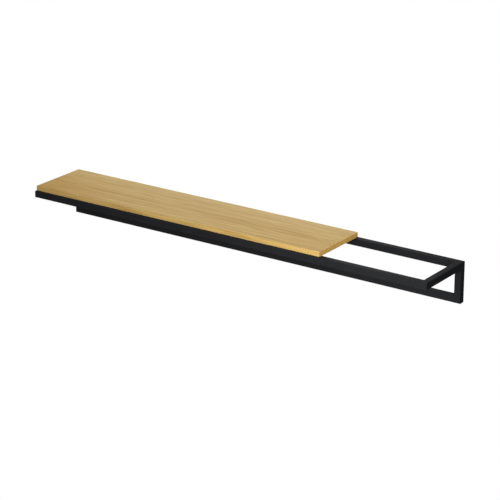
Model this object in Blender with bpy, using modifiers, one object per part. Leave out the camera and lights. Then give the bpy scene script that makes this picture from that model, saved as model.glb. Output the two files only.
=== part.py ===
"""Bicycle wall rack: a black square-tube frame with an oak shelf and an open bay that a bike hangs in.

Units are metres, +Z is up. The wall is the plane Y = 0 and the rack stands out towards -Y, with X along
its length. The origin is on the wall, at the middle of the rear top rail's back face.

Seven square tubes are mitred and welded. Four of them lie on the wall as a long rectangle. Two side rails
and a front rail stand out from the rectangle's top. The shelf board lies on the rails and is screwed to
them from below.
"""

import math

import bmesh
import bpy
from mathutils import Matrix, Vector

# Driving dimensions
FRAME_LENGTH = 1.650
FRAME_DEPTH = 0.253
FRAME_HEIGHT = 0.146
TUBE_SIDE = 0.025
TUBE_WALL = 0.002
TUBE_OUTER_RADIUS = 0.0023
TUBE_INNER_RADIUS = 0.0007

BOARD_LENGTH = 1.231
BOARD_WIDTH = 0.2415
BOARD_THICKNESS = 0.018
BOARD_LEFT_INSET = 0.003
BOARD_REAR_INSET = 0.005
BOARD_EDGE_RADIUS = 0.001

KEYHOLES = 4
KEYHOLE_INSET = 0.120
KEYHOLE_ENTRY_RADIUS = 0.00525
KEYHOLE_ENTRY_DROP = 0.0035
KEYHOLE_SLOT_RADIUS = 0.00275
KEYHOLE_SLOT_RISE = 0.005
KEYHOLE_ARC_STEPS = 12

SCREW_LENGTH = 0.040
SCREW_SHANK_RADIUS = 0.002
SCREW_TIP_LENGTH = 0.005
SCREW_HEAD_RADIUS = 0.0042
SCREW_HEAD_HEIGHT = 0.0026
SCREW_HEAD_RIM = 0.0008
RECESS_SPAN = 0.0046
RECESS_WIDTH = 0.0010
RECESS_DEPTH = 0.0016
SCREW_HOLE_RADIUS = 0.0025
SCREW_HOLE_SPARE = 0.0006
SCREW_END_INSET = 0.060
SCREWS_PER_RAIL = 4

GAP = 0.0003            # clearance between neighbouring solids
CUTTER_OVERSHOOT = 0.002
ROUND_SIDES = 20
CORNER_STEPS = 3
WELD_DISTANCE = 0.00001

# Positions that follow from them
HALF_TUBE = TUBE_SIDE / 2
HALF_LENGTH = FRAME_LENGTH / 2
RAIL_TOP = HALF_TUBE
RAIL_BOTTOM = -HALF_TUBE
BOTTOM_RAIL_Z = RAIL_TOP - FRAME_HEIGHT + HALF_TUBE
POST_Z = (RAIL_TOP + RAIL_TOP - FRAME_HEIGHT) / 2
REAR_RAIL_Y = -HALF_TUBE
FRONT_RAIL_Y = -FRAME_DEPTH + HALF_TUBE
END_TUBE_X = HALF_LENGTH - HALF_TUBE
MITRE_SETBACK = GAP / math.sqrt(2)

BOARD_LEFT = -HALF_LENGTH + BOARD_LEFT_INSET
BOARD_CENTRE = Vector((
    BOARD_LEFT + BOARD_LENGTH / 2,
    -BOARD_REAR_INSET - BOARD_WIDTH / 2,
    RAIL_TOP + GAP + BOARD_THICKNESS / 2,
))
SCREW_SEAT_Z = RAIL_BOTTOM - GAP
SCREW_TOP_Z = SCREW_SEAT_Z + SCREW_LENGTH

# Turns that lay a tube's own Z axis along the world's X or Y
ALONG_X = (0, math.radians(90), 0)
ALONG_Y = (math.radians(-90), 0, 0)
ALONG_Z = (0, 0, 0)


def clear_scene():
    """Remove whatever the file holds, and the data left behind."""
    for obj in list(bpy.data.objects):
        bpy.data.objects.remove(obj, do_unlink=True)
    for block in (bpy.data.meshes, bpy.data.curves, bpy.data.materials):
        for item in list(block):
            block.remove(item)


def new_collection(name):
    collection = bpy.data.collections.new(name)
    bpy.context.scene.collection.children.link(collection)
    return collection


def material(name, colour, roughness, metallic=0.0):
    made = bpy.data.materials.new(name)
    made.use_nodes = True
    shader = made.node_tree.nodes["Principled BSDF"]
    shader.inputs["Base Color"].default_value = (*colour, 1.0)
    shader.inputs["Roughness"].default_value = roughness
    shader.inputs["Metallic"].default_value = metallic
    made.diffuse_color = (*colour, 1.0)
    return made


def powder_coat(part_name):
    return material(part_name + "_black_powder_coat", (0.020, 0.020, 0.021), 0.48)


def add_part(name, mesh, look, location=(0, 0, 0), rotation=(0, 0, 0)):
    """Link one sub-part, placed under the rack's empty."""
    part = bpy.data.objects.new(name, mesh)
    part.location = location
    part.rotation_euler = rotation
    part.parent = RACK
    PARTS.objects.link(part)
    if not part.data.materials:
        part.data.materials.append(look)
    return part


def mesh_of(obj):
    """The evaluated shape of an object as a welded mesh; the object itself is removed."""
    bpy.context.view_layer.update()
    graph = bpy.context.evaluated_depsgraph_get()
    mesh = bpy.data.meshes.new_from_object(obj.evaluated_get(graph))
    bpy.data.objects.remove(obj, do_unlink=True)
    shape = bmesh.new()
    shape.from_mesh(mesh)
    bmesh.ops.remove_doubles(shape, verts=shape.verts, dist=WELD_DISTANCE)
    bmesh.ops.recalc_face_normals(shape, faces=shape.faces)
    shape.to_mesh(mesh)
    shape.free()
    return mesh


def smooth_round(mesh):
    mesh.shade_smooth()
    mesh.set_sharp_from_angle(angle=math.radians(35))


def rounded_square(side, radius):
    """Corner arcs of a square outline, anticlockwise from the +X side."""
    reach = side / 2 - radius
    points = []
    for corner in range(4):
        middle = math.radians(45 + 90 * corner)
        centre_x = math.copysign(reach, math.cos(middle))
        centre_y = math.copysign(reach, math.sin(middle))
        for step in range(CORNER_STEPS + 1):
            angle = math.radians(90 * (corner + step / CORNER_STEPS))
            points.append((centre_x + radius * math.cos(angle), centre_y + radius * math.sin(angle)))
    return points


def add_outline(curve, points):
    spline = curve.splines.new("POLY")
    spline.points.add(len(points) - 1)
    for point, (x, y) in zip(spline.points, points):
        point.co = (x, y, 0, 1)
    spline.use_cyclic_u = True


def square_tube(name, length):
    """A hollow square tube along its own Z axis, centred on its origin, with square-cut ends."""
    curve = bpy.data.curves.new(name, "CURVE")
    curve.dimensions = "2D"
    curve.fill_mode = "BOTH"
    curve.extrude = length / 2
    add_outline(curve, rounded_square(TUBE_SIDE, TUBE_OUTER_RADIUS))
    add_outline(curve, rounded_square(TUBE_SIDE - 2 * TUBE_WALL, TUBE_INNER_RADIUS))
    profile = bpy.data.objects.new(name + "_profile", curve)
    bpy.context.scene.collection.objects.link(profile)
    return mesh_of(profile)


def mitre(mesh, end, inner_side):
    """Cut one end at 45 degrees. end is +1 or -1 along Z; inner_side points across to the shorter face."""
    inner_side = Vector((*inner_side, 0))
    for vertex in mesh.vertices:
        if vertex.co.z * end > 0:
            from_outer_face = vertex.co.dot(inner_side) + HALF_TUBE
            vertex.co.z -= end * (from_outer_face + MITRE_SETBACK)


def add_tube(name, length, location, rotation, mitres):
    """mitres lists (end, inner_side) for each mitred end, in the tube's own axes."""
    mesh = square_tube(name, length)
    for end, inner_side in mitres:
        mitre(mesh, end, inner_side)
    smooth_round(mesh)
    return add_part(name, mesh, powder_coat(name), location, rotation)


def cut(part, cutter_shape, label):
    """Take a cutter's shape away from a part, with an exact Boolean."""
    mesh = bpy.data.meshes.new(label)
    cutter_shape.to_mesh(mesh)
    cutter_shape.free()
    cutter = bpy.data.objects.new(label, mesh)
    cutter.hide_render = True
    cutter.display_type = "WIRE"
    CUTTERS.objects.link(cutter)
    boolean = part.modifiers.new(label, "BOOLEAN")
    boolean.operation = "DIFFERENCE"
    boolean.solver = "EXACT"
    boolean.object = cutter


def drills(centres, axis, radius, length):
    """Round cutters of one size, all along one world axis."""
    shape = bmesh.new()
    turn = Vector((0, 0, 1)).rotation_difference(Vector(axis)).to_matrix()
    for centre in centres:
        made = bmesh.ops.create_cone(
            shape, cap_ends=True, segments=ROUND_SIDES, radius1=radius, radius2=radius, depth=length
        )
        bmesh.ops.rotate(shape, verts=made["verts"], matrix=turn)
        bmesh.ops.translate(shape, verts=made["verts"], vec=centre)
    return shape


def spread(first, last, count):
    """Evenly spaced values, ends included."""
    return [first + (last - first) * i / (count - 1) for i in range(count)]


# The welded frame

def make_wall_rectangle():
    """Two long rails and two posts against the wall, mitred at the four corners."""
    down, up = (1, 0), (-1, 0)       # a tube laid along X has its own +X axis pointing down
    rails = {}
    for name, height, inner_side in (
        ("rear_top_rail", 0.0, down),
        ("rear_bottom_rail", BOTTOM_RAIL_Z, up),
    ):
        rails[name] = add_tube(
            name, FRAME_LENGTH, (0, REAR_RAIL_Y, height), ALONG_X, [(1, inner_side), (-1, inner_side)]
        )
    for name, side in (("left_post", -1), ("right_post", 1)):
        inner_side = (-side, 0)
        add_tube(
            name, FRAME_HEIGHT, (side * END_TUBE_X, REAR_RAIL_Y, POST_Z), ALONG_Z,
            [(1, inner_side), (-1, inner_side)],
        )
    return rails["rear_top_rail"]


def make_front_rail():
    backwards = (0, 1)
    return add_tube(
        "front_rail", FRAME_LENGTH, (0, FRONT_RAIL_Y, 0), ALONG_X, [(1, backwards), (-1, backwards)]
    )


def make_side_rails():
    """From the rectangle's top corners, where they are cut square, to the mitred front corners."""
    length = FRAME_DEPTH - TUBE_SIDE - GAP
    middle_y = -FRAME_DEPTH + length / 2
    for name, side in (("left_side_rail", -1), ("right_side_rail", 1)):
        add_tube(name, length, (side * END_TUBE_X, middle_y, 0), ALONG_Y, [(-1, (-side, 0))])


def arc(centre_y, radius, first, last):
    """Points along an arc about (0, centre_y), anticlockwise between two angles in degrees."""
    points = []
    for step in range(KEYHOLE_ARC_STEPS + 1):
        angle = math.radians(first + (last - first) * step / KEYHOLE_ARC_STEPS)
        points.append((radius * math.cos(angle), centre_y + radius * math.sin(angle)))
    return points


def cut_keyholes(rail):
    """Keyholes in the rail's back wall only. Each goes over a wall screw's head and hangs on its shank."""
    neck = math.degrees(math.acos(KEYHOLE_SLOT_RADIUS / KEYHOLE_ENTRY_RADIUS))
    slot = arc(KEYHOLE_SLOT_RISE, KEYHOLE_SLOT_RADIUS, 0, 180)
    entry = arc(-KEYHOLE_ENTRY_DROP, KEYHOLE_ENTRY_RADIUS, 180 - neck, 360 + neck)
    curve = bpy.data.curves.new("keyholes", "CURVE")
    curve.dimensions = "2D"
    curve.fill_mode = "BOTH"
    curve.extrude = TUBE_WALL / 2 + CUTTER_OVERSHOOT
    reach = HALF_LENGTH - KEYHOLE_INSET
    for centre_x in spread(-reach, reach, KEYHOLES):
        add_outline(curve, [(centre_x + x, y) for x, y in slot + entry])
    outline = bpy.data.objects.new("keyholes_outline", curve)
    bpy.context.scene.collection.objects.link(outline)

    shape = bmesh.new()
    shape.from_mesh(mesh_of(outline))
    upright = Matrix.Rotation(math.radians(90), 3, "X")
    bmesh.ops.rotate(shape, verts=shape.verts, matrix=upright)
    bmesh.ops.translate(shape, verts=shape.verts, vec=(0, -TUBE_WALL / 2, rail.location.z))
    cut(rail, shape, rail.name + "_keyholes")


# The shelf and its screws

def make_board():
    shape = bmesh.new()
    bmesh.ops.create_cube(shape, size=1.0)
    bmesh.ops.scale(shape, verts=shape.verts, vec=(BOARD_LENGTH, BOARD_WIDTH, BOARD_THICKNESS))
    mesh = bpy.data.meshes.new("shelf_board")
    shape.to_mesh(mesh)
    shape.free()
    look = material("shelf_board_oak", (0.533, 0.376, 0.168), 0.55)
    board = add_part("shelf_board", mesh, look, BOARD_CENTRE)
    rounding = board.modifiers.new("eased_edges", "BEVEL")
    rounding.width = BOARD_EDGE_RADIUS
    rounding.segments = 2
    return board


def screw_stations(rail_y):
    """Where the board's screws stand along one rail."""
    first = BOARD_LEFT + SCREW_END_INSET
    last = BOARD_LEFT + BOARD_LENGTH - SCREW_END_INSET
    return [Vector((x, rail_y, 0)) for x in spread(first, last, SCREWS_PER_RAIL)]


def screw_profile():
    """Half outline of a pan-head screw, head up, with the underside of its head at Z = 0."""
    crown = []
    for step in range(5):
        angle = math.radians(90 * step / 4)
        crown.append((
            SCREW_HEAD_RADIUS * math.sin(angle),
            SCREW_HEAD_RIM + (SCREW_HEAD_HEIGHT - SCREW_HEAD_RIM) * math.cos(angle),
        ))
    shank = [
        (SCREW_HEAD_RADIUS, 0),
        (SCREW_SHANK_RADIUS, 0),
        (SCREW_SHANK_RADIUS, SCREW_TIP_LENGTH - SCREW_LENGTH),
        (0, -SCREW_LENGTH),
    ]
    return [(radius, 0, height) for radius, height in crown + shank]


def screw_mesh():
    """A turned screw with a cross recess in its head."""
    points = screw_profile()
    mesh = bpy.data.meshes.new("screw_profile")
    mesh.from_pydata(points, [(i, i + 1) for i in range(len(points) - 1)], [])
    screw = bpy.data.objects.new("screw_blank", mesh)
    bpy.context.scene.collection.objects.link(screw)
    turning = screw.modifiers.new("turning", "SCREW")
    turning.axis = "Z"
    turning.steps = ROUND_SIDES
    turning.render_steps = ROUND_SIDES
    turning.use_merge_vertices = True
    turning.merge_threshold = 0.00005

    recess = bmesh.new()
    for size in ((RECESS_SPAN, RECESS_WIDTH), (RECESS_WIDTH, RECESS_SPAN)):
        made = bmesh.ops.create_cube(recess, size=1.0)
        bmesh.ops.scale(recess, verts=made["verts"], vec=(*size, 2 * RECESS_DEPTH))
        bmesh.ops.translate(recess, verts=made["verts"], vec=(0, 0, SCREW_HEAD_HEIGHT))
    cut(screw, recess, "screw_recess")
    screw.modifiers["screw_recess"].use_self = True
    finished = mesh_of(screw)
    finished.name = "board_screw"
    smooth_round(finished)
    return finished


def make_board_screws(board, rails):
    """Screws up through the front and rear rails into blind holes in the board."""
    shared = screw_mesh()
    look = material("board_screw_zinc", (0.55, 0.56, 0.58), 0.32, 1.0)
    upside_down = (math.radians(180), 0, 0)
    all_stations = []
    for label, rail in rails:
        stations = screw_stations(rail.location.y)
        all_stations += stations
        for number, place in enumerate(stations, start=1):
            seat = (place.x, place.y, SCREW_SEAT_Z)
            add_part(f"board_screw_{label}_{number}", shared, look, seat, upside_down)
        depth = TUBE_SIDE + 2 * CUTTER_OVERSHOOT
        cut(rail, drills(stations, (0, 0, 1), SCREW_HOLE_RADIUS, depth), rail.name + "_screw_holes")

    board_bottom = RAIL_TOP + GAP
    hole_top = SCREW_TOP_Z + SCREW_HOLE_SPARE
    hole_bottom = board_bottom - CUTTER_OVERSHOOT
    middle = Vector((0, 0, (hole_top + hole_bottom) / 2))
    centres = [station + middle for station in all_stations]
    blind = drills(centres, (0, 0, 1), SCREW_HOLE_RADIUS, hole_top - hole_bottom)
    cut(board, blind, "shelf_board_screw_holes")


clear_scene()
PARTS = new_collection("bicycle_wall_rack")
CUTTERS = new_collection("cutters")
RACK = bpy.data.objects.new("rack_origin", None)
PARTS.objects.link(RACK)

top_rail = make_wall_rectangle()
front_rail = make_front_rail()
make_side_rails()
cut_keyholes(top_rail)
make_board_screws(make_board(), [("front", front_rail), ("rear", top_rail)])
bpy.context.view_layer.update()
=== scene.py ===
"""Looks of the bicycle wall rack: powder coat, oak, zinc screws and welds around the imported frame.

Lengths are in metres and angles in degrees, in the frame of the CAD model: X along the rack, the wall at
Y = 0, +Z up.
"""

import math

import bmesh
import bpy
from mathutils import Matrix, Vector


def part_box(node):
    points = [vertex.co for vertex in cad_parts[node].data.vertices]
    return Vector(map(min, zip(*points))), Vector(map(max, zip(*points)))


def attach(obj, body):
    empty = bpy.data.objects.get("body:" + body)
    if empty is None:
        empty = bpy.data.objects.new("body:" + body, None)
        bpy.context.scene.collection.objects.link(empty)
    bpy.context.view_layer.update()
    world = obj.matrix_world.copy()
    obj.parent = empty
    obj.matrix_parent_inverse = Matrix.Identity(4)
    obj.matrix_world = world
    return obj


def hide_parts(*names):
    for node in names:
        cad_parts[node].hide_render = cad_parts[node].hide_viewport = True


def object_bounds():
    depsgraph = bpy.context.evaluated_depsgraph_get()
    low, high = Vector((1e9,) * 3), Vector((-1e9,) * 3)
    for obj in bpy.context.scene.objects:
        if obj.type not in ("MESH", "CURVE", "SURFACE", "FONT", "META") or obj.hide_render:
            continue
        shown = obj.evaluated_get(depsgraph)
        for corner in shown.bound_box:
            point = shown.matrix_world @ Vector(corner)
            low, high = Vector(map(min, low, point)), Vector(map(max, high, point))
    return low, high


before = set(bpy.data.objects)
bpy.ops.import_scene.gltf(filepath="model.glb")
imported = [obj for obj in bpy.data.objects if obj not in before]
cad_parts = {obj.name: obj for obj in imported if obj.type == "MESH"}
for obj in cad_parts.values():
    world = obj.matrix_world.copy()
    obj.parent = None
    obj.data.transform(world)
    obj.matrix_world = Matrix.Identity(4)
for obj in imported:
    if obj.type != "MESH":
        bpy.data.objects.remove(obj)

CAD_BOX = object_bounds()
ROOT = "root"
MM = 0.001

TUBES = [
    "rear_top_rail", "rear_bottom_rail", "left_post", "right_post",
    "front_rail", "left_side_rail", "right_side_rail",
]
BOARD = "shelf_board"
SCREWS = [f"board_screw_{rail}_{number}" for rail in ("front", "rear") for number in (1, 2, 3, 4)]


# Node helpers

class Graph:
    """A material's node tree, with short calls to add and join nodes."""

    def __init__(self, name):
        self.material = bpy.data.materials.new(name)
        self.material.use_nodes = True
        self.tree = self.material.node_tree
        self.shader = self.tree.nodes["Principled BSDF"]

    def add(self, kind, settings=None, **inputs):
        node = self.tree.nodes.new(kind)
        for key, value in (settings or {}).items():
            setattr(node, key, value)
        for key, value in inputs.items():
            self.feed(node.inputs[key], value)
        return node

    def feed(self, socket, value):
        if isinstance(value, bpy.types.NodeSocket):
            self.tree.links.new(value, socket)
        else:
            socket.default_value = value

    def math(self, operation, *values):
        node = self.tree.nodes.new("ShaderNodeMath")
        node.operation = operation
        for socket, value in zip(node.inputs, values):
            self.feed(socket, value)
        return node.outputs[0]

    def vector(self, x, y, z):
        return self.add("ShaderNodeCombineXYZ", X=x, Y=y, Z=z).outputs[0]

    def scaled(self, place, factor):
        return self.add("ShaderNodeMapping", Vector=place, Scale=(factor, factor, factor)).outputs[0]

    def noise(self, place, detail, roughness=0.5):
        node = self.add("ShaderNodeTexNoise", Vector=place, Scale=1.0, Detail=detail, Roughness=roughness)
        return node.outputs["Fac"]

    def span(self, value, low, high, to_low, to_high):
        """Map low to to_low and high to to_high, held at those ends."""
        node = self.add("ShaderNodeMapRange", {"clamp": True})
        sockets = ("Value", "From Min", "From Max", "To Min", "To Max")
        for key, number in zip(sockets, (value, low, high, to_low, to_high)):
            self.feed(node.inputs[key], number)
        return node.outputs[0]

    def mix(self, factor, first, second, blend="MIX"):
        node = self.tree.nodes.new("ShaderNodeMix")
        node.data_type = "RGBA"
        node.blend_type = blend
        self.feed(node.inputs["Factor"], factor)
        self.feed(node.inputs["A"], first)
        self.feed(node.inputs["B"], second)
        return node.outputs["Result"]

    def bump(self, height, depth, strength):
        node = self.add("ShaderNodeBump", Height=height, Distance=depth, Strength=strength)
        self.feed(self.shader.inputs["Normal"], node.outputs[0])


def rgba(red, green, blue):
    return (red, green, blue, 1.0)


# Materials

def powder_coat():
    """Fine-textured matt black: a soft orange peel with a finer grit over it."""
    peel_per_metre, grit_per_metre, cloud_per_metre = 420, 1700, 9
    graph = Graph("fine_black_powder_coat")
    place = graph.add("ShaderNodeTexCoord").outputs["Object"]
    peel = graph.noise(graph.scaled(place, peel_per_metre), 2.0)
    grit = graph.noise(graph.scaled(place, grit_per_metre), 2.0)
    cloud = graph.noise(graph.scaled(place, cloud_per_metre), 3.0)
    tone = graph.span(graph.math("ADD", graph.math("MULTIPLY", grit, 0.5), cloud), 0.4, 1.1, 0.0, 1.0)
    colour = graph.mix(tone, rgba(0.0134, 0.0138, 0.0151), rgba(0.0182, 0.0186, 0.0201))
    graph.feed(graph.shader.inputs["Base Color"], colour)
    graph.feed(graph.shader.inputs["Roughness"], graph.span(peel, 0.3, 0.7, 0.40, 0.50))
    graph.shader.inputs["Specular IOR Level"].default_value = 0.014
    graph.bump(graph.math("ADD", peel, graph.math("MULTIPLY", grit, 0.45)), 0.05 * MM, 0.6)
    return graph.material


def oak(low, high):
    """Rift-sawn oak in long staves glued edge to edge, its grain along X.

    low and high are the board's lowest and highest corners.
    """
    staves = 4
    stave_shift = 7.0
    grain_wander = 16 * MM
    ring_spacing = 2.3 * MM
    stave_width = (high.y - low.y) / staves
    graph = Graph("lacquered_oak")
    place = graph.add("ShaderNodeTexCoord").outputs["Object"]
    parts = graph.add("ShaderNodeSeparateXYZ", Vector=place)
    x, y, z = parts.outputs[0], parts.outputs[1], parts.outputs[2]

    stave = graph.math("FLOOR", graph.math("DIVIDE", graph.math("SUBTRACT", y, low.y), stave_width))
    luck = graph.add("ShaderNodeTexWhiteNoise", {"noise_dimensions": "1D"}, W=stave)
    stave_tone = luck.outputs["Value"]
    shifted_x = graph.math("ADD", x, graph.math("MULTIPLY", stave_tone, stave_shift))

    drift_place = graph.vector(graph.math("MULTIPLY", shifted_x, 2.6), graph.math("MULTIPLY", y, 9.0), z)
    drift = graph.noise(drift_place, 2.0)
    bent_y = graph.math("ADD", y, graph.math("MULTIPLY", drift, grain_wander))

    def stretched(along, across):
        """The place in its stave, scaled by so much a metre along the grain and across it."""
        return graph.vector(
            graph.math("MULTIPLY", shifted_x, along),
            graph.math("MULTIPLY", bent_y, across),
            graph.math("MULTIPLY", z, across),
        )

    depth = graph.math("ADD", graph.math("MULTIPLY", bent_y, 0.86), graph.math("MULTIPLY", z, 0.5))
    ring = graph.math("PINGPONG", graph.math("MULTIPLY", depth, 1 / ring_spacing), 1.0)
    band = graph.noise(stretched(1.6, 75.0), 2.0)
    streak = graph.noise(stretched(6.5, 240.0), 3.0, 0.65)
    fibre = graph.noise(stretched(30.0, 2300.0), 2.0, 0.6)
    pore = graph.span(graph.noise(stretched(75.0, 3000.0), 1.0), 0.60, 0.72, 0.0, 1.0)

    tone = graph.math("MULTIPLY", band, 0.35)
    for value, share in ((streak, 0.90), (ring, 0.07), (fibre, 0.20), (stave_tone, 0.04)):
        tone = graph.math("ADD", tone, graph.math("MULTIPLY", value, share))
    ramp = graph.add("ShaderNodeValToRGB", Fac=graph.span(tone, 0.60, 0.96, 0.0, 1.0))
    ramp.color_ramp.elements[0].color = rgba(0.415, 0.262, 0.088)
    ramp.color_ramp.elements[1].color = rgba(0.600, 0.428, 0.182)
    middle = ramp.color_ramp.elements.new(0.5)
    middle.color = rgba(0.512, 0.350, 0.136)
    pore_colour = rgba(0.250, 0.140, 0.045)
    colour = graph.mix(graph.math("MULTIPLY", pore, 0.28), ramp.outputs["Color"], pore_colour)

    normal = graph.add("ShaderNodeNewGeometry").outputs["True Normal"]
    facing = graph.add("ShaderNodeSeparateXYZ", Vector=normal)
    # Painted shade: the broad faces darken and warm towards the left front corner, standing in for light that
    # falls off there.
    painted_shade_left_front = graph.math(
        "MULTIPLY",
        graph.span(x, low.x, low.x + 0.25 * (high.x - low.x), 1.0, 0.0),
        graph.span(y, low.y, high.y, 1.0, 0.0),
    )
    # Painted light: the broad faces grow paler and bluer towards the rear, standing in for more light from
    # behind.
    painted_light_rear = graph.span(y, (low.y + high.y) / 2, high.y, 0.0, 1.0)
    # Tints by the axis that a face looks along. The ends turn lighter and more golden, partly their own
    # colour and partly painted light from the right;
    # the long edges turn more golden; the broad faces take the painted shade at the left front and the
    # painted light at the rear.
    for axis, tint, strength in (
        (0, rgba(1.34, 1.17, 0.82), 1.0),
        (1, rgba(1.02, 0.98, 0.80), 1.0),
        (2, rgba(0.88, 0.77, 0.56), painted_shade_left_front),
        (2, rgba(1.07, 1.11, 1.22), painted_light_rear),
    ):
        share = graph.span(graph.math("ABSOLUTE", facing.outputs[axis]), 0.6, 0.95, 0.0, 1.0)
        share = graph.math("MULTIPLY", share, strength)
        colour = graph.mix(share, colour, graph.mix(1.0, colour, tint, "MULTIPLY"))
    graph.feed(graph.shader.inputs["Base Color"], colour)
    graph.feed(graph.shader.inputs["Roughness"], graph.span(fibre, 0.3, 0.7, 0.50, 0.60))
    graph.shader.inputs["Specular IOR Level"].default_value = 0.03
    relief = graph.math("SUBTRACT", graph.math("MULTIPLY", fibre, 0.4), pore)
    graph.bump(relief, 0.06 * MM, 0.5)
    return graph.material


def zinc():
    """Bright zinc plate with the faint blue and straw clouds of its passivation."""
    cloud_per_metre, scuff_per_metre = 260, 2200
    graph = Graph("bright_zinc_plate")
    place = graph.add("ShaderNodeTexCoord").outputs["Object"]
    cloud = graph.noise(graph.scaled(place, cloud_per_metre), 3.0)
    scuff = graph.noise(graph.scaled(place, scuff_per_metre), 2.0)
    colour = graph.mix(cloud, rgba(0.50, 0.53, 0.58), rgba(0.66, 0.64, 0.57))
    graph.feed(graph.shader.inputs["Base Color"], colour)
    graph.shader.inputs["Metallic"].default_value = 1.0
    graph.feed(graph.shader.inputs["Roughness"], graph.span(scuff, 0.3, 0.7, 0.22, 0.40))
    graph.bump(scuff, 0.01 * MM, 0.5)
    return graph.material


# Pieces

SHARP_ANGLE = 38


def add_piece(name, shape, look):
    """Turn a bmesh into a piece of the object that rides on the root body."""
    bmesh.ops.recalc_face_normals(shape, faces=shape.faces)
    mesh = bpy.data.meshes.new(name)
    shape.to_mesh(mesh)
    shape.free()
    return add_mesh(name, mesh, look)


def add_mesh(name, mesh, look):
    smooth(mesh)
    mesh.materials.append(look)
    piece = bpy.data.objects.new(name, mesh)
    bpy.context.scene.collection.objects.link(piece)
    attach(piece, ROOT)
    return piece


def join_rings(shape, rings):
    """Join each ring of vertices to the next one with a band of quads."""
    for first, second in zip(rings, rings[1:]):
        for i in range(len(first)):
            j = (i + 1) % len(first)
            shape.faces.new((first[i], first[j], second[j], second[i]))


def smooth(mesh):
    """Shade the mesh smooth between its sharp edges, without the normals that came with it."""
    if "custom_normal" in mesh.attributes:
        mesh.attributes.remove(mesh.attributes["custom_normal"])
    mesh.shade_smooth()
    mesh.set_sharp_from_angle(angle=math.radians(SHARP_ANGLE))


def dress(node_name, look):
    """Give a CAD node its finished material."""
    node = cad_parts[node_name]
    node.data.materials.clear()
    node.data.materials.append(look)
    smooth(node.data)


# Welds

OUTLINE_RADIUS = 2.3 * MM
OUTLINE_STEPS = 6
SEAM_HALF = 0.22 * MM
SEAM_INSET = 0.02 * MM
SEAM_DEPTH = 1.4 * MM
ROOT_SEAM_OFFSET = 0.7 * SEAM_HALF
BEAD_LEG = 2.6 * MM
BEAD_BULGE = 0.35 * MM
BEAD_SINK = 0.5 * MM
BEAD_PITCH = 1.5 * MM
BEAD_STEPS_PER_PITCH = 8
BEAD_STEPS_ACROSS = 8
BEAD_END_SIZE = 0.12
RIPPLE_IN_WIDTH = 0.06
RIPPLE_IN_CROWN = 0.5
GROOVE_WIDTH = 1.9 * MM
GROOVE_DIP = 0.12 * MM
GROOVE_DEPTH = 1.7 * MM
GROOVE_ROOT_REACH = 0.2
GROOVE_CROWN = 0.5 * GROOVE_DIP


def rounded_square(half, radius):
    """Outline of the tube's section, as (inwards, across) pairs."""
    points = []
    for corner in range(4):
        middle = math.radians(45 + 90 * corner)
        centre = [math.copysign(half - radius, wave(middle)) for wave in (math.cos, math.sin)]
        for step in range(OUTLINE_STEPS + 1):
            angle = math.radians(90 * (corner + step / OUTLINE_STEPS))
            points.append((centre[0] + radius * math.cos(angle), centre[1] + radius * math.sin(angle)))
    return points


def add_seam(shape, centre, inwards, across, into_first, into_second, half):
    """A thin ring that fills the joint between two tubes, ground flush.

    The ring lies in the plane of inwards and across. Its two sides run into the first and the second tube.
    """
    rings = []
    for into in (into_first, into_second):
        for reach, radius in ((half - SEAM_INSET, OUTLINE_RADIUS), (half - SEAM_DEPTH, OUTLINE_RADIUS / 3)):
            rings.append([
                shape.verts.new(centre + inwards * inward + across * sideways + into * SEAM_HALF)
                for inward, sideways in rounded_square(reach, radius)
            ])
    outer_back, inner_back, outer_front, inner_front = rings
    join_rings(shape, [outer_back, outer_front, inner_front, inner_back, outer_back])


def add_bead(shape, start, end, toe_a, toe_b, root, bulge):
    """A rippled weld from start to end.

    Its visible face spans toe_a to toe_b with a crown of bulge between them, and root is its hidden corner.
    """
    run = end - start
    stations = round(run.length / BEAD_PITCH) * BEAD_STEPS_PER_PITCH
    rows = []
    for station in range(stations + 1):
        along = run.length * station / stations
        from_end = min(along, run.length - along)
        taper = math.sqrt(min(1.0, BEAD_END_SIZE + (1 - BEAD_END_SIZE) * from_end / BEAD_LEG))
        ripple = abs(math.sin(math.pi * along / BEAD_PITCH))
        width = taper * (1 - RIPPLE_IN_WIDTH + RIPPLE_IN_WIDTH * ripple)
        height = taper * (1 - RIPPLE_IN_CROWN + RIPPLE_IN_CROWN * ripple)
        centre = start + run * (station / stations)
        row = []
        for step in range(BEAD_STEPS_ACROSS + 1):
            share = step / BEAD_STEPS_ACROSS
            toe = (toe_a * (1 - share) + toe_b * share) * width
            crown = bulge * height * math.sin(math.pi * share)
            row.append(shape.verts.new(centre + toe + crown))
        row.append(shape.verts.new(centre + root))
        rows.append(row)
    join_rings(shape, rows)
    shape.faces.new(rows[0])
    shape.faces.new(list(reversed(rows[-1])))


def add_fillet(shape, start, end, side_a, side_b):
    """A bead in an inside corner, with a leg on each of the two faces."""
    out = (side_a + side_b).normalized()
    add_bead(shape, start, end, side_a * BEAD_LEG, side_b * BEAD_LEG, -out * BEAD_SINK, out * BEAD_BULGE)


def add_groove_fill(shape, start, end, over, up):
    """A bead just under flush, between a tube's square end and the rounded edge of the tube that it meets."""
    near_toe = -up * GROOVE_DIP
    far_toe = over * GROOVE_WIDTH - up * GROOVE_DIP * 2
    root = over * GROOVE_WIDTH * GROOVE_ROOT_REACH - up * GROOVE_DEPTH
    add_bead(shape, start, end, near_toe, far_toe, root, up * GROOVE_CROWN)


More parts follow.
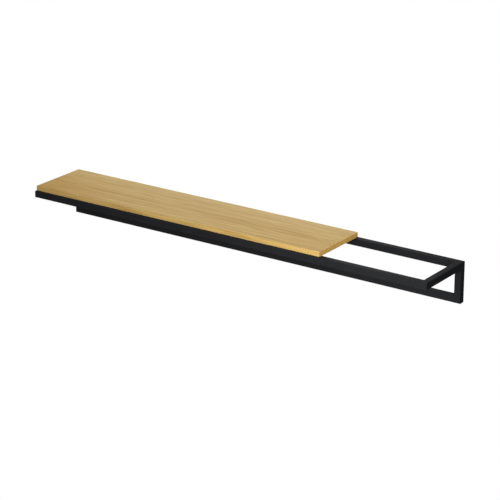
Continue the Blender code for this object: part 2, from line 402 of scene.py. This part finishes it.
def make_welds(look):
    """Eight joints: four corners on the wall, two at the front, and the side rails' two roots.

    half is half of the tube's side, and end_x is where the end tubes' middle lines are.
    """
    top_low, top_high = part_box("rear_top_rail")
    bottom_low, bottom_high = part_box("rear_bottom_rail")
    front_low, front_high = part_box("front_rail")
    half = (top_high.z - top_low.z) / 2
    end_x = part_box("right_post")[1].x - half
    rear_y = (top_low.y + top_high.y) / 2
    front_y = (front_low.y + front_high.y) / 2
    top_z = (top_low.z + top_high.z) / 2
    bottom_z = (bottom_low.z + bottom_high.z) / 2
    flat = half - OUTLINE_RADIUS
    along_mitre = math.sqrt(2)
    y_axis, z_axis = Vector((0, 1, 0)), Vector((0, 0, 1))

    for side_name, side in (("left", -1), ("right", 1)):
        out = Vector((side, 0, 0))
        for level, height, inner in (("top", top_z, -z_axis), ("bottom", bottom_z, z_axis)):
            shape = bmesh.new()
            centre = Vector((side * end_x, rear_y, height))
            add_seam(shape, centre, inner - out, y_axis, -out * along_mitre, inner * along_mitre, half)
            corner = centre + (inner - out) * half
            add_fillet(shape, corner - y_axis * flat, corner + y_axis * flat, inner, -out)
            add_piece(f"weld_wall_{level}_{side_name}", shape, look)

        shape = bmesh.new()
        centre = Vector((side * end_x, front_y, top_z))
        add_seam(shape, centre, y_axis - out, z_axis, -out * along_mitre, y_axis * along_mitre, half)
        corner = centre + (y_axis - out) * half
        add_fillet(shape, corner - z_axis * flat, corner + z_axis * flat, y_axis, -out)
        add_piece(f"weld_front_{side_name}", shape, look)

        shape = bmesh.new()
        root = Vector((side * end_x, rear_y - half, top_z))
        add_seam(shape, root - y_axis * ROOT_SEAM_OFFSET, out, z_axis, -y_axis, y_axis, half)
        inner_edge = root - out * half
        add_fillet(shape, inner_edge - z_axis * flat, inner_edge + z_axis * flat, -y_axis, -out)
        lower_edge = root - z_axis * half
        add_fillet(shape, lower_edge - out * flat, lower_edge + out * flat, -y_axis, -z_axis)
        upper_edge = root + z_axis * half
        add_groove_fill(shape, upper_edge - out * flat, upper_edge + out * flat, y_axis, z_axis)
        outer_edge = root + out * half
        add_groove_fill(shape, outer_edge - z_axis * flat, outer_edge + z_axis * flat, y_axis, out)
        add_piece(f"weld_side_rail_{side_name}", shape, look)


# Screws

SCREW_RADIUS = 2.0 * MM
SCREW_SEAT_GAP = 0.05 * MM
SCREW_TURN = 37
SCREW_SIDES = 28
HEAD_STEPS = 8
HEAD_RIM = 1.0 * MM
HEAD_CHAMFER = 0.15 * MM
NECK_HEIGHT = 0.4 * MM
NECK_RADIUS = 0.86 * SCREW_RADIUS
PLAIN_RADIUS = 0.80 * SCREW_RADIUS
PLAIN_SHARE = 0.30
CORE_RADIUS = 0.66 * SCREW_RADIUS
TIP_LENGTH = 6.0 * MM
TIP_SIZE = 0.05
THREAD_PITCH = 1.8 * MM
THREAD_STEPS_PER_PITCH = 8
THREAD_WIDTH = 0.4
THREAD_AT_TIP = 0.25
THREAD_END = 0.08
RECESS_SPAN = 4.8 * MM
RECESS_WIDTH = 0.95 * MM
RECESS_DEPTH = 1.7 * MM
RECESS_INNER_SPAN = 0.45
RECESS_INNER_WIDTH = 0.8


def screw_profile(head_height, head_radius, plain):
    """The head's dome, rim and seat and the plain shank, as (radius, height) pairs."""
    profile = []
    for step in range(1, HEAD_STEPS + 1):
        angle = math.radians(90 * step / HEAD_STEPS)
        dome = (head_height - HEAD_RIM) * math.cos(angle)
        profile.append((head_radius * math.sin(angle), -HEAD_RIM - dome))
    profile += [(head_radius, -HEAD_CHAMFER), (head_radius - HEAD_CHAMFER, 0.0), (NECK_RADIUS, 0.0)]
    return profile + [(PLAIN_RADIUS, NECK_HEIGHT), (PLAIN_RADIUS, plain)]


def screw_mesh(length, head_height, head_radius):
    """A pan-head wood screw, head down, its seat at Z = 0 and its point up."""
    plain = length * PLAIN_SHARE
    angles = [2 * math.pi * i / SCREW_SIDES for i in range(SCREW_SIDES)]
    shape = bmesh.new()

    def ring(radii, height):
        return [
            shape.verts.new((radius * math.cos(angle), radius * math.sin(angle), height))
            for radius, angle in zip(radii, angles)
        ]

    profile = screw_profile(head_height, head_radius, plain)
    rings = [ring([radius] * SCREW_SIDES, height) for radius, height in profile]
    rows = round((length - plain) / THREAD_PITCH * THREAD_STEPS_PER_PITCH)
    for row in range(1, rows + 1):
        height = plain + (length - plain) * row / rows
        to_tip = min(1.0, (length - height) / TIP_LENGTH)
        body = CORE_RADIUS * max(to_tip, TIP_SIZE)
        reach = 0.0
        if to_tip > THREAD_END:
            start = min(1.0, (height - plain) / THREAD_PITCH)
            reach = (SCREW_RADIUS - CORE_RADIUS) * (THREAD_AT_TIP + (1 - THREAD_AT_TIP) * to_tip) * start
        turns = [(height / THREAD_PITCH - angle / (2 * math.pi)) % 1.0 for angle in angles]
        crests = [max(0.0, 1.0 - abs(turn - 0.5) / (THREAD_WIDTH / 2)) for turn in turns]
        rings.append(ring([body + crest * reach for crest in crests], height))
    join_rings(shape, rings)
    shape.faces.new(list(reversed(rings[0])))
    point = shape.verts.new((0, 0, length))
    for i in range(SCREW_SIDES):
        shape.faces.new((rings[-1][i], rings[-1][(i + 1) % SCREW_SIDES], point))
    bmesh.ops.recalc_face_normals(shape, faces=shape.faces)
    blank = bpy.data.meshes.new("screw_blank")
    shape.to_mesh(blank)
    shape.free()
    return cut_recess(blank, head_height)


def cut_recess(blank, head_height):
    """Cut a tapered cross recess into the screw's head."""
    cutter_shape = bmesh.new()
    for turn in (0, 90):
        made = bmesh.ops.create_cube(cutter_shape, size=1.0)["verts"]
        bmesh.ops.scale(cutter_shape, verts=made, vec=(RECESS_SPAN, RECESS_WIDTH, 2 * RECESS_DEPTH))
        for vertex in made:
            if vertex.co.z > 0:
                vertex.co.x *= RECESS_INNER_SPAN
                vertex.co.y *= RECESS_INNER_WIDTH
        bmesh.ops.rotate(cutter_shape, verts=made, matrix=turn_about_z(turn))
        bmesh.ops.translate(cutter_shape, verts=made, vec=(0, 0, -head_height))
    cutter_mesh = bpy.data.meshes.new("recess_cutter")
    cutter_shape.to_mesh(cutter_mesh)
    cutter_shape.free()
    cutter = bpy.data.objects.new("recess_cutter", cutter_mesh)
    screw = bpy.data.objects.new("screw_blank", blank)
    for obj in (cutter, screw):
        bpy.context.scene.collection.objects.link(obj)
    recess = screw.modifiers.new("recess", "BOOLEAN")
    recess.solver = "EXACT"
    recess.use_self = True
    recess.object = cutter
    bpy.context.view_layer.update()
    finished = bpy.data.meshes.new_from_object(screw.evaluated_get(bpy.context.evaluated_depsgraph_get()))
    for obj in (cutter, screw):
        bpy.data.objects.remove(obj, do_unlink=True)
    finished.name = "board_screw"
    return finished


def turn_about_z(degrees):
    return Matrix.Rotation(math.radians(degrees), 3, "Z")


def make_screws(look):
    """A threaded screw in place of each plain one, with its recess turned a little from the one before."""
    rail_low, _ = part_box("front_rail")
    low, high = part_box(SCREWS[0])
    seat = rail_low.z - SCREW_SEAT_GAP
    mesh = screw_mesh(high.z - seat, seat - low.z, (high.x - low.x) / 2)
    for number, name in enumerate(SCREWS):
        low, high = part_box(name)
        piece = add_mesh(name + "_detail", mesh.copy(), look)
        place = Vector(((low.x + high.x) / 2, (low.y + high.y) / 2, seat))
        turned = turn_about_z(SCREW_TURN * number).to_4x4()
        turned.translation = place
        piece.data.transform(turned)
        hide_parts(name)


# Stage, light and camera

FLOOR_DROP = 1.4
FLOOR_RADIUS = 1.3
AMBIENT = 0.252
CAMERA_PLACE = Vector((3.8591, -5.6031, 2.3680))
CAMERA_AZIMUTH = 34.8608
CAMERA_ELEVATION = 20.0972
CAMERA_LENS = 146.81


def white_to_the_camera(tree, lit, output):
    """Join a shader to the output so that light meets it as it is, while the camera sees plain white."""
    white = tree.nodes.new("ShaderNodeEmission")
    white.inputs["Color"].default_value = rgba(1, 1, 1)
    seen = tree.nodes.new("ShaderNodeLightPath")
    choice = tree.nodes.new("ShaderNodeMixShader")
    tree.links.new(seen.outputs["Is Camera Ray"], choice.inputs[0])
    tree.links.new(lit.outputs[0], choice.inputs[1])
    tree.links.new(white.outputs[0], choice.inputs[2])
    tree.links.new(choice.outputs[0], output.inputs["Surface"])


def make_floor():
    """A pale disc below the rack, small enough to stay out of views from below."""
    shape = bmesh.new()
    bmesh.ops.create_circle(shape, cap_ends=True, segments=96, radius=FLOOR_RADIUS)
    mesh = bpy.data.meshes.new("floor")
    shape.to_mesh(mesh)
    shape.free()
    graph = Graph("pale_floor")
    graph.shader.inputs["Base Color"].default_value = rgba(0.95, 0.95, 0.95)
    graph.shader.inputs["Roughness"].default_value = 0.9
    graph.shader.inputs["Specular IOR Level"].default_value = 0.0
    white_to_the_camera(graph.tree, graph.shader, graph.tree.nodes["Material Output"])
    mesh.materials.append(graph.material)
    floor = bpy.data.objects.new("floor", mesh)
    floor.location.z = CAD_BOX[0].z - FLOOR_DROP
    bpy.context.scene.collection.objects.link(floor)


def area_light(name, place, target, size, power):
    """A softbox at place that faces target, with its size in metres and its power in watts."""
    lamp = bpy.data.lights.new(name, "AREA")
    lamp.shape = "RECTANGLE"
    lamp.size, lamp.size_y = size
    lamp.energy = power
    light = bpy.data.objects.new(name, lamp)
    light.location = place
    light.rotation_euler = (Vector(target) - Vector(place)).to_track_quat("-Z", "Y").to_euler()
    bpy.context.scene.collection.objects.link(light)


def make_light():
    world = bpy.data.worlds.new("studio")
    bpy.context.scene.world = world
    world.use_nodes = True
    ambient = world.node_tree.nodes["Background"]
    ambient.inputs["Color"].default_value = rgba(1, 1, 1)
    ambient.inputs["Strength"].default_value = AMBIENT
    white_to_the_camera(world.node_tree, ambient, world.node_tree.nodes["World Output"])
    area_light("top_softbox", (0, -0.2, 2.6), (0, -0.1, 0), (4.0, 3.0), 59)
    area_light("back_softbox", (-1.5, 2.1, 1.0), (0.2, -0.1, 0), (1.8, 1.2), 15)
    area_light("front_softbox", (0, -3.0, 0.6), (0, -0.1, 0), (3.0, 1.5), 28.5)
    area_light("right_front_softbox", (1.0, -1.3, 0.25), (0.75, -0.2, 0), (0.6, 0.6), 12)
    area_light("low_front_softbox", (0.6, -1.2, -0.2), (0.7, -0.25, 0), (0.5, 0.4), 3)


def make_camera():
    data = bpy.data.cameras.new("camera")
    data.lens = CAMERA_LENS
    data.sensor_width = 36
    data.clip_end = 100
    camera = bpy.data.objects.new("camera", data)
    camera.location = CAMERA_PLACE
    camera.rotation_euler = (math.radians(90 - CAMERA_ELEVATION), 0, math.radians(CAMERA_AZIMUTH))
    bpy.context.scene.collection.objects.link(camera)
    bpy.context.scene.camera = camera


bpy.context.scene.view_settings.view_transform = "Standard"
make_camera()
make_light()
make_floor()

coat = powder_coat()
for tube in TUBES:
    dress(tube, coat)
dress(BOARD, oak(*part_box(BOARD)))
make_welds(coat)
make_screws(zinc())
